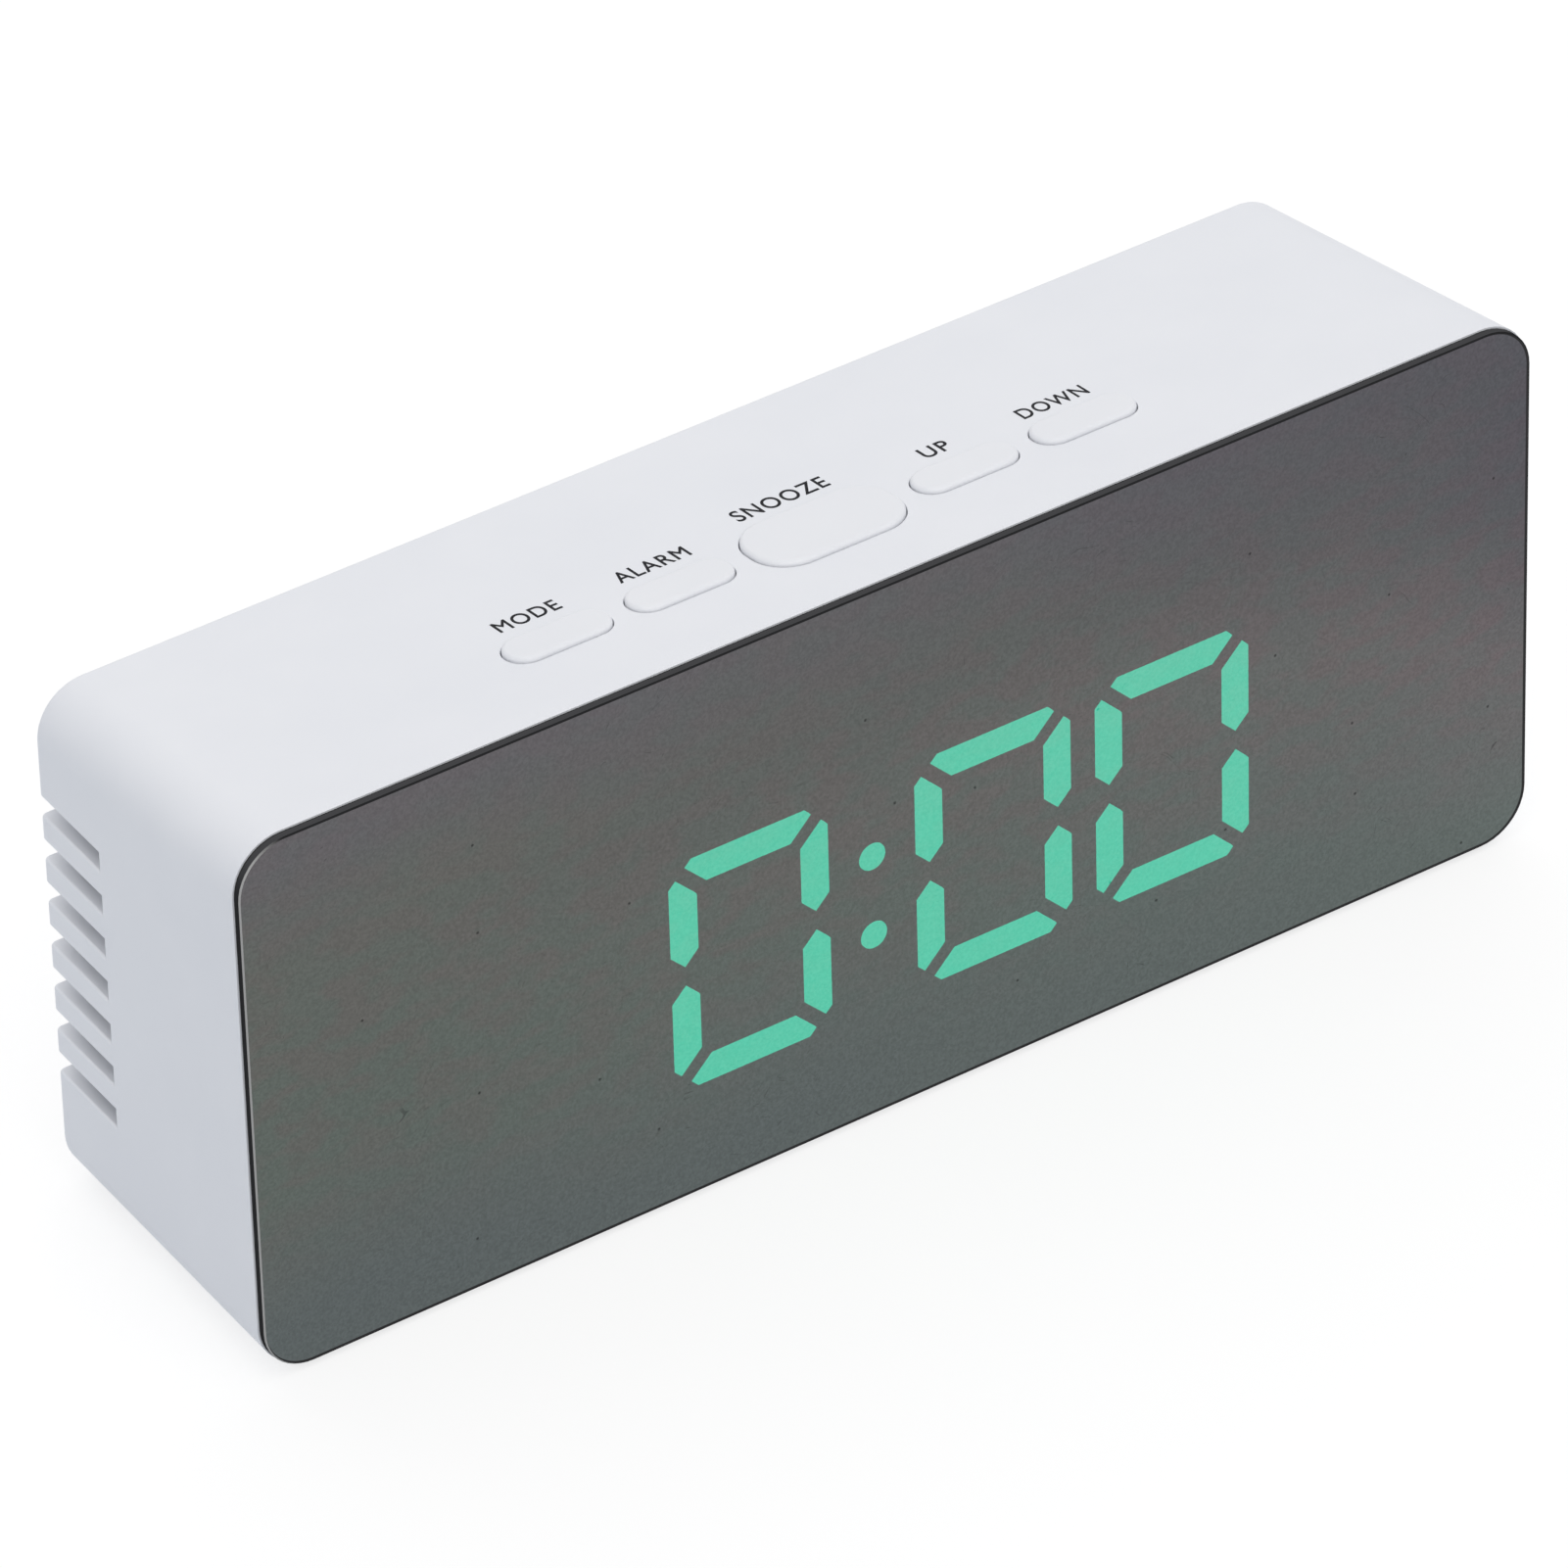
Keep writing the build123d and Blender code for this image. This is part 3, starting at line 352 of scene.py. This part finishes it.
def make_wear_marks():
    """Handling marks in a plane: sparse specks, and hairlines along the ridges of noise drawn out two ways.

    Half of the Voronoi cells hold a speck at their point. The hairlines bend a little and lie in patches.
    """
    speck_chance = 0.5
    speck_rim = (1.0, 0.6)
    bend_scale, bend_reach = 35.0, 0.4
    hairline_turns = (radians(24), radians(-52))
    hairline_stretch = (0.06, 1.0, 1.0)
    ridge_rim = (0.78, 0.82)
    cluster_scale = 60.0
    cluster_rim = (0.5, 0.6)
    tree, given, leave = new_group(
        "wear_marks",
        {"Place": "Vector", "Speck Scale": "Float", "Speck Size": "Float", "Scratch Scale": "Float"},
        {"Specks": "Float", "Scratches": "Float"},
    )
    place = given["Place"]
    cells = node(
        tree,
        "ShaderNodeTexVoronoi",
        {"Vector": place, "Scale": given["Speck Scale"]},
        voronoi_dimensions="2D",
    )
    reach = maths(tree, "DIVIDE", cells.outputs["Distance"], given["Speck Size"])
    draw = node(tree, "ShaderNodeSeparateColor", {0: cells.outputs["Color"]}).outputs[0]
    chosen = maths(tree, "GREATER_THAN", draw, speck_chance)
    specks = maths(tree, "MULTIPLY", spread(tree, reach, *speck_rim), chosen)
    bend = spread(tree, noise(tree, place, bend_scale), *wide_noise, -bend_reach, bend_reach)
    lines = []
    for turn in hairline_turns:
        turned = node(
            tree,
            "ShaderNodeVectorRotate",
            {"Vector": place, "Angle": maths(tree, "ADD", bend, turn)},
            rotation_type="Z_AXIS",
        )
        stretch = {"Vector": turned.outputs[0], "Scale": hairline_stretch}
        drawn = node(tree, "ShaderNodeMapping", stretch).outputs[0]
        ridges = noise(tree, drawn, given["Scratch Scale"], detail=0.0)
        lines.append(spread(tree, ridges, *ridge_rim))
    clusters = spread(tree, noise(tree, place, cluster_scale, detail=1.0), *cluster_rim)
    scratches = maths(tree, "MULTIPLY", maths(tree, "MAXIMUM", *lines), clusters)
    put_out(tree, leave, {"Specks": specks, "Scratches": scratches})
    return tree


def make_board_tracks():
    """Circuit board: solder resist over square-cornered copper tracks, rings in square Voronoi cells."""
    tree, given, leave = new_group(
        "board_tracks",
        {"Place": "Vector", "Resist Colour": "Color", "Track Colour": "Color"},
        {"Colour": "Color", "Height": "Float"},
    )
    cells = node(
        tree,
        "ShaderNodeTexVoronoi",
        {"Vector": given["Place"], "Scale": track_cell_scale, "Randomness": track_cell_scatter},
        distance="CHEBYCHEV",
        voronoi_dimensions="2D",
    )
    rings = maths(tree, "MULTIPLY", cells.outputs["Distance"], tracks_per_cell)
    tracks = spread(tree, maths(tree, "PINGPONG", rings, 0.5), *track_rim)
    clouds = noise(tree, given["Place"], resist_mottle_scale)
    mottle = spread(tree, clouds, *wide_noise, resist_darkest, 1.0)
    resist = mix_colours(tree, 1.0, given["Resist Colour"], mottle, "MULTIPLY")
    colour = mix_colours(tree, tracks, resist, given["Track Colour"])
    put_out(tree, leave, {"Colour": colour, "Height": tracks})
    return tree


moulded_finish = make_moulded_finish()
metal_finish = make_metal_finish()
wear_marks = make_wear_marks()
board_tracks = make_board_tracks()


def new_material(name):
    """An empty node material with one Principled shader; returns the material, its tree and the shader."""
    material = bpy.data.materials.new(name)
    material.use_nodes = True
    tree = material.node_tree
    return material, tree, tree.nodes["Principled BSDF"]


def use_group(tree, group, inputs):
    """Places a node group with its own values; returns its outputs."""
    return node(tree, "ShaderNodeGroup", inputs, node_tree=group).outputs


def set_finish(tree, shader, outputs, strength, depth):
    """Links a finish's colour, roughness and height to the shader, as far as it has them."""
    tree.links.new(outputs["Colour"], shader.inputs["Base Color"])
    if "Roughness" in outputs:
        tree.links.new(outputs["Roughness"], shader.inputs["Roughness"])
    relief = {"Height": outputs["Height"], "Strength": strength, "Distance": depth}
    tree.links.new(node(tree, "ShaderNodeBump", relief).outputs[0], shader.inputs["Normal"])


def moulded(name, light, dark, smoothest, roughest, grain_scale=usual_grain_scale, strength=usual_bump):
    """Moulded plastic, rubber, resin or ink in two near shades."""
    material, tree, shader = new_material(name)
    outputs = use_group(
        tree,
        moulded_finish,
        {
            "Light Colour": (*light, 1),
            "Dark Colour": (*dark, 1),
            "Drift Scale": drift_scale,
            "Grain Scale": grain_scale,
            "Smoothest": smoothest,
            "Roughest": roughest,
        },
    )
    set_finish(tree, shader, outputs, strength, grain_height)
    return material


def metal(name, light, dark, streak_scale, smoothest, roughest):
    """Bare or plated metal with drawn-out streaks."""
    material, tree, shader = new_material(name)
    outputs = use_group(
        tree,
        metal_finish,
        {
            "Light Colour": (*light, 1),
            "Dark Colour": (*dark, 1),
            "Streak Scale": streak_scale,
            "Smoothest": smoothest,
            "Roughest": roughest,
        },
    )
    shader.inputs["Metallic"].default_value = 1.0
    set_finish(tree, shader, outputs, metal_bump, grain_height)
    return material


def tint_ramp(tree, level, tints):
    """Colour ramp over a level from 0 to 1, with the named tints, partly the coating's own and partly painted
    reflection, at their shares of it.
    """
    bands = node(tree, "ShaderNodeValToRGB", {0: level})
    ramp = bands.color_ramp
    for element, (share, tint) in zip(ramp.elements, (tints[0], tints[-1])):
        element.position = share
        element.color = coating_and_reflection_tints[tint]
    for share, tint in tints[1:-1]:
        ramp.elements.new(share).color = coating_and_reflection_tints[tint]
    return bands.outputs[0]


def coating_and_painted_reflection_tint(tree, place, x, z):
    """Tint of the mirror's front, partly the coating's own and partly painted reflection: one upright ramp for
    each end of the sheet, mixed along it, with wandering bands.

    The right end's bands slant down to the right. Patches of green and rose lie over the middle heights.
    """
    drawn = node(tree, "ShaderNodeMapping", {"Vector": place, "Scale": tint_stretch}).outputs[0]
    wander = spread(tree, noise(tree, drawn, wander_scale), *wide_noise, -wander_reach, wander_reach)
    height = maths(tree, "ADD", spread(tree, z, panel_low.z, panel_high.z), wander)
    to_right = spread(tree, x, panel_low.x, panel_high.x)
    slant = spread(tree, to_right, slant_start, 1.0, slant_low, slant_high)
    left = tint_ramp(tree, height, left_tints)
    right = tint_ramp(tree, maths(tree, "ADD", height, slant), right_tints)
    along = maths(tree, "ADD", to_right, wander, clamp=True)
    drift = mix_colours(tree, maths(tree, "POWER", along, right_tint_power), left, right)
    patches = spread(tree, noise(tree, drawn, patch_scale, detail=2.0), *patch_rim)
    mottle = mix_colours(tree, patches, rose_patch, green_patch)
    rising = spread(tree, height, *patch_rise)
    falling = spread(tree, height, *patch_fall, patch_top_share, 1.0)
    return mix_colours(tree, maths(tree, "MULTIPLY", rising, falling), drift, mottle, "MULTIPLY")


def past_silver(tree, place):
    """1 on the bare margin round the silver, and 0 on the silver.

    The distance past a core rectangle, in the plane of the sheet, rounds the corners. The silver ends
    where it is the corner radius less the chamfer and the margin. It sits a hair to the upper left.
    """
    middle = (panel_low + panel_high) / 2 + Vector((-bare_margin, 0, bare_margin))
    core = (panel_high - panel_low) / 2 - Vector((panel_corner, 0, panel_corner))
    aside = vector_maths(tree, "ABSOLUTE", vector_maths(tree, "SUBTRACT", place, middle)[0])[0]
    past_core = vector_maths(tree, "SUBTRACT", aside, core)[0]
    outside = vector_maths(tree, "MAXIMUM", past_core, (0, 0, 0))[0]
    in_plane = vector_maths(tree, "MULTIPLY", outside, (1, 0, 1))[0]
    from_core = vector_maths(tree, "LENGTH", in_plane)["Value"]
    end = panel_corner - chamfer_depth - bare_margin
    return spread(tree, from_core, end - silver_end_blur, end + silver_end_blur)


def display_window(tree, x, z):
    """1 over the display and 0 away from it: a rectangle with a soft border, the product of two slopes."""
    window_low, window_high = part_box("display_block")
    insides = []
    for value, low, high in ((x, window_low.x, window_high.x), (z, window_low.z, window_high.z)):
        off_centre = maths(tree, "ABSOLUTE", maths(tree, "SUBTRACT", value, (low + high) / 2))
        reach = (high - low) / 2 + window_margin
        insides.append(spread(tree, off_centre, reach + window_fade, reach))
    return maths(tree, "MULTIPLY", *insides)


def half_mirror():
    """Half-silvered sheet: a tinted grey on its front, partly the coating's tint and partly painted reflection,
    with a fine grain, specks and hairlines.

    A bare dark margin shows on the right and below. The edge is dark, with painted light where it faces up; the
    chamfer has a painted highlight where it faces left, and the back is black. Over the display the back is clear
    and the silver lets a share of light through; its colour is divided by what is left, so that the reflection
    stays the same.
    """
    material, tree, shader = new_material("half_mirror")
    coordinates = node(tree, "ShaderNodeTexCoord")
    place = coordinates.outputs["Object"]
    x, y, z = node(tree, "ShaderNodeSeparateXYZ", {0: place}).outputs

    grains = noise(tree, place, grain_scale_silver, detail=1.0)
    grain = spread(tree, grains, *usual_noise, grain_low, grain_high)
    # The tint carries painted reflection: lighter low down and darker towards the upper right
    silver = mix_colours(tree, 1.0, coating_and_painted_reflection_tint(tree, place, x, z), grain, "MULTIPLY")
    flat = node(tree, "ShaderNodeCombineXYZ", {0: x, 1: z}).outputs[0]
    marks = use_group(tree, wear_marks, {"Place": flat, **mirror_marks})
    specks = maths(tree, "MULTIPLY", marks["Specks"], speck_share)
    silver = mix_colours(tree, specks, silver, speck_colour)
    scratches = maths(tree, "MULTIPLY", marks["Scratches"], scratch_share)
    silver = mix_colours(tree, scratches, silver, scratch_colour)
    silver = mix_colours(tree, past_silver(tree, place), silver, bare_colour)

    behind_front = maths(tree, "SUBTRACT", y, panel_low.y)
    off_front = maths(tree, "GREATER_THAN", behind_front, front_slack)
    past_chamfer = maths(tree, "GREATER_THAN", behind_front, chamfer_depth - front_slack)
    at_back = maths(tree, "GREATER_THAN", y, panel_high.y - back_slack)
    clear_share = spread(tree, at_back, 0.0, 1.0, mirror_clear_share, 1.0)
    see_through = maths(tree, "MULTIPLY", display_window(tree, x, z), clear_share)
    solid_share = maths(tree, "SUBTRACT", 1.0, see_through)
    silver = mix_colours(tree, 1.0, silver, maths(tree, "DIVIDE", 1.0, solid_share), "MULTIPLY")

    facing = node(tree, "ShaderNodeSeparateXYZ", {0: coordinates.outputs["Normal"]}).outputs
    # Painted highlight on the chamfer where it faces left
    painted_highlight_share = spread(tree, facing[0], *painted_highlight_facing)
    # Painted light on the edge where it faces up
    painted_top_light_share = spread(tree, facing[2], *up_facing)
    chamfer = mix_colours(tree, painted_highlight_share, chamfer_dark, chamfer_painted_highlight)
    edge = mix_colours(tree, painted_top_light_share, edge_dark, edge_painted_top_light)
    colour = mix_colours(tree, off_front, silver, chamfer)
    colour = mix_colours(tree, past_chamfer, colour, edge)
    colour = mix_colours(tree, at_back, colour, (0, 0, 0, 1))
    roughness = spread(tree, grain, grain_low, grain_high, silver_smoothest, silver_roughest)
    tree.links.new(colour, shader.inputs["Base Color"])
    tree.links.new(roughness, shader.inputs["Roughness"])
    tree.links.new(maths(tree, "SUBTRACT", 1.0, off_front), shader.inputs["Metallic"])
    tree.links.new(solid_share, shader.inputs["Alpha"])
    shader.inputs["Specular IOR Level"].default_value = 0.0
    return material


def lit_lens():
    """Lit light guide: mint green, with the faint mottle of the resin."""
    material, tree, shader = new_material("lens_lit")
    mottle = spread(tree, noise(tree, object_place(tree), resin_mottle_scale), *usual_noise)
    tree.links.new(mix_colours(tree, mottle, *glow_shades), shader.inputs["Emission Color"])
    tree.links.new(mix_colours(tree, mottle, *resin_shades), shader.inputs["Base Color"])
    shader.inputs["Emission Strength"].default_value = glow_strength
    shader.inputs["Roughness"].default_value = resin_roughness
    return material


def board(name, along, across):
    """Green circuit board whose tracks lie in the plane of two object axes, given by their numbers."""
    material, tree, shader = new_material(name)
    axes = node(tree, "ShaderNodeSeparateXYZ", {0: object_place(tree)}).outputs
    flat = node(tree, "ShaderNodeCombineXYZ", {0: axes[along], 1: axes[across]}).outputs[0]
    outputs = use_group(
        tree,
        board_tracks,
        {"Place": flat, "Resist Colour": resist_colour, "Track Colour": track_colour},
    )
    set_finish(tree, shader, outputs, track_bump, track_height)
    shader.inputs["Roughness"].default_value = board_roughness
    return material


def cell_jacket():
    """Jacket of the cells: slate foil, a white ring, a pale grey band at the plus pole, bare metal ends.

    The outer two cells point one way and the middle one the other.
    """
    material, tree, shader = new_material("cell_jacket")
    low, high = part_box("battery_cells")
    x, _, z = node(tree, "ShaderNodeSeparateXYZ", {0: object_place(tree)}).outputs
    off_middle = maths(tree, "ABSOLUTE", maths(tree, "SUBTRACT", z, (low.z + high.z) / 2))
    outer_row = maths(tree, "GREATER_THAN", off_middle, (high.z - low.z) / (2 * cell_rows))
    way = spread(tree, outer_row, 0.0, 1.0, 1.0, -1.0)
    along = maths(tree, "MULTIPLY", x, way)
    from_middle = maths(tree, "ABSOLUTE", along)
    ring = maths(tree, "COMPARE", along, ring_middle * high.x, ring_half * high.x)
    pale = spread(tree, along, pale_start * high.x, pale_end * high.x)
    bare = spread(tree, from_middle, bare_start * high.x, bare_end * high.x)
    outputs = use_group(tree, metal_finish, jacket_streaks)
    set_finish(tree, shader, outputs, jacket_bump, jacket_relief)
    colour = mix_colours(tree, ring, outputs["Colour"], ring_colour)
    colour = mix_colours(tree, pale, colour, pale_colour)
    colour = mix_colours(tree, bare, colour, bare_metal)
    tree.links.new(colour, shader.inputs["Base Color"])
    tree.links.new(bare, shader.inputs["Metallic"])
    return material


materials = {name: moulded(name, *look) for name, look in moulded_looks.items()}
materials.update({name: metal(name, *look) for name, look in metal_looks.items()})
materials["door_white"] = materials["case_white"]
materials["half_mirror"] = half_mirror()
materials["lens_lit"] = lit_lens()
materials["board_green"] = board("board_green", 0, 2)
materials["cell_jacket"] = cell_jacket()
for subpart in frame["record"]["subparts"]:
    shown = cad_nodes[subpart["node"]]
    shown.data.materials.clear()
    shown.data.materials.append(materials[subpart["material_slot"]])
cad_nodes["button_board"].data.materials[0] = board("button_board_green", 0, 1)
label_ink = materials["label_ink"]
label_ink.node_tree.nodes["Principled BSDF"].inputs["Specular IOR Level"].default_value = ink_gloss


def add_word(name, text, width, height, middle, normal):
    """A printed word on the sloping top: flat letters, scaled to a width and a height, turned to the slope.

    Each point's shares of the letters' box give its place along the word, up the slope and along the normal.
    """
    depth = word_thickness + word_sink
    curve = bpy.data.curves.new(name, "FONT")
    curve.body = text
    curve.size = type_size_share * height
    curve.bevel_depth = word_swell
    curve.bevel_resolution = 1
    curve.space_character = word_spacing
    curve.extrude = depth / 2
    curve.resolution_u = 6
    source = bpy.data.objects.new(name, curve)
    scene.collection.objects.link(source)
    evaluated = source.evaluated_get(bpy.context.evaluated_depsgraph_get())
    mesh = bpy.data.meshes.new_from_object(evaluated)
    bpy.data.objects.remove(source)
    points = np.empty(3 * len(mesh.vertices))
    mesh.vertices.foreach_get("co", points)
    points = points.reshape(-1, 3)
    shares = (points - points.min(0)) / (points.max(0) - points.min(0))
    local = (shares - (0.5, 0.5, 0)) * (width, height, depth) - (0, 0, word_sink)
    right = Vector((1, 0, 0))
    axes = np.array((right, normal.cross(right), normal))
    mesh.vertices.foreach_set("co", (local @ axes + np.array(middle)).ravel())
    mesh.update()
    mesh.materials.clear()
    mesh.materials.append(label_ink)
    piece = bpy.data.objects.new(name, mesh)
    scene.collection.objects.link(piece)
    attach(piece, "clock")


case_low, case_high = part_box("main_case")
top_normal = -Vector(joints["mode_press"]["axis"]).normalized()
for name, (text, width, to_right, from_front) in words.items():
    key_low, key_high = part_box(name + "_button")
    y = cad_low.y + from_front
    z = case_high.z - (y - case_low.y) * top_normal.y / top_normal.z
    height = snooze_letter_height if name == "snooze" else letter_height
    middle = Vector(((key_low.x + key_high.x) / 2 + to_right, y, z))
    add_word(name + "_word", text, width, height, middle, top_normal)


def seen_rays(tree):
    """1 for rays that look at the backdrop straight, in a reflection or through glass, and 0 for light."""
    path = node(tree, "ShaderNodeLightPath").outputs
    mirrored = maths(tree, "MAXIMUM", path["Is Glossy Ray"], path["Is Transmission Ray"])
    return maths(tree, "MAXIMUM", path["Is Camera Ray"], mirrored)


def add_sky():
    """Even sky: one light for the clock, and plain white where the sky itself is seen."""
    world = bpy.data.worlds.new("studio")
    world.use_nodes = True
    tree = world.node_tree
    tree.nodes.clear()
    light = node(tree, "ShaderNodeBackground", {"Color": sky_colour, "Strength": sky_strength}).outputs[0]
    plain = node(tree, "ShaderNodeBackground", {"Color": white, "Strength": 1.0}).outputs[0]
    mixed = node(tree, "ShaderNodeMixShader", {0: seen_rays(tree), 1: light, 2: plain})
    node(tree, "ShaderNodeOutputWorld", {"Surface": mixed.outputs[0]})
    scene.world = world


def add_lamps():
    """A broad soft lamp from the front, and a weaker one from the rear that gives no gloss."""
    for name, (strength, comes_from, glossy) in lamps.items():
        lamp = bpy.data.lights.new(name, "SUN")
        lamp.energy = strength
        lamp.color = lamp_colour
        lamp.angle = lamp_spread
        lamp_object = bpy.data.objects.new(name, lamp)
        lamp_object.rotation_euler = comes_from.to_track_quat("Z", "Y").to_euler()
        lamp_object.visible_glossy = glossy
        scene.collection.objects.link(lamp_object)


def add_floor():
    """Pale floor that is near white where it is seen, with a soft shade under the clock."""
    mesh = bpy.data.meshes.new("floor")
    corners = [(-floor_half, -floor_half, 0), (floor_half, -floor_half, 0)]
    corners += [(floor_half, floor_half, 0), (-floor_half, floor_half, 0)]
    mesh.from_pydata(corners, [], [(0, 1, 2, 3)])
    floor = bpy.data.objects.new("floor", mesh)
    scene.collection.objects.link(floor)
    material = bpy.data.materials.new("floor_pale")
    material.use_nodes = True
    tree = material.node_tree
    tree.nodes.clear()
    lit = node(tree, "ShaderNodeBsdfDiffuse", {"Color": floor_colour}).outputs[0]
    shade = (floor_shaded_share, floor_shaded_share, floor_shaded_share, 1)
    soft = node(tree, "ShaderNodeBsdfDiffuse", {"Color": shade}).outputs[0]
    glow_share = 1 - floor_shaded_share * open_light
    glow = node(tree, "ShaderNodeEmission", {"Color": white, "Strength": glow_share}).outputs[0]
    shown = node(tree, "ShaderNodeAddShader", {0: soft, 1: glow}).outputs[0]
    mixed = node(tree, "ShaderNodeMixShader", {0: seen_rays(tree), 1: lit, 2: shown})
    node(tree, "ShaderNodeOutputMaterial", {"Surface": mixed.outputs[0]})
    mesh.materials.append(material)


def add_camera():
    """Long lens at the photograph's place, turned a little about its own axis."""
    lens = bpy.data.cameras.new("camera")
    lens.sensor_width = sensor_width
    lens.lens = focal_pixels / image_pixels * sensor_width
    lens.clip_end = view_depth
    camera = bpy.data.objects.new("camera", lens)
    aim = (camera_aim - camera_place).to_track_quat("-Z", "Y").to_matrix()
    turn = aim @ Matrix.Rotation(camera_roll, 3, "Z")
    camera.matrix_world = Matrix.Translation(camera_place) @ turn.to_4x4()
    scene.collection.objects.link(camera)
    scene.camera = camera


add_sky()
add_lamps()
add_floor()
add_camera()
scene.view_settings.view_transform = "Standard"
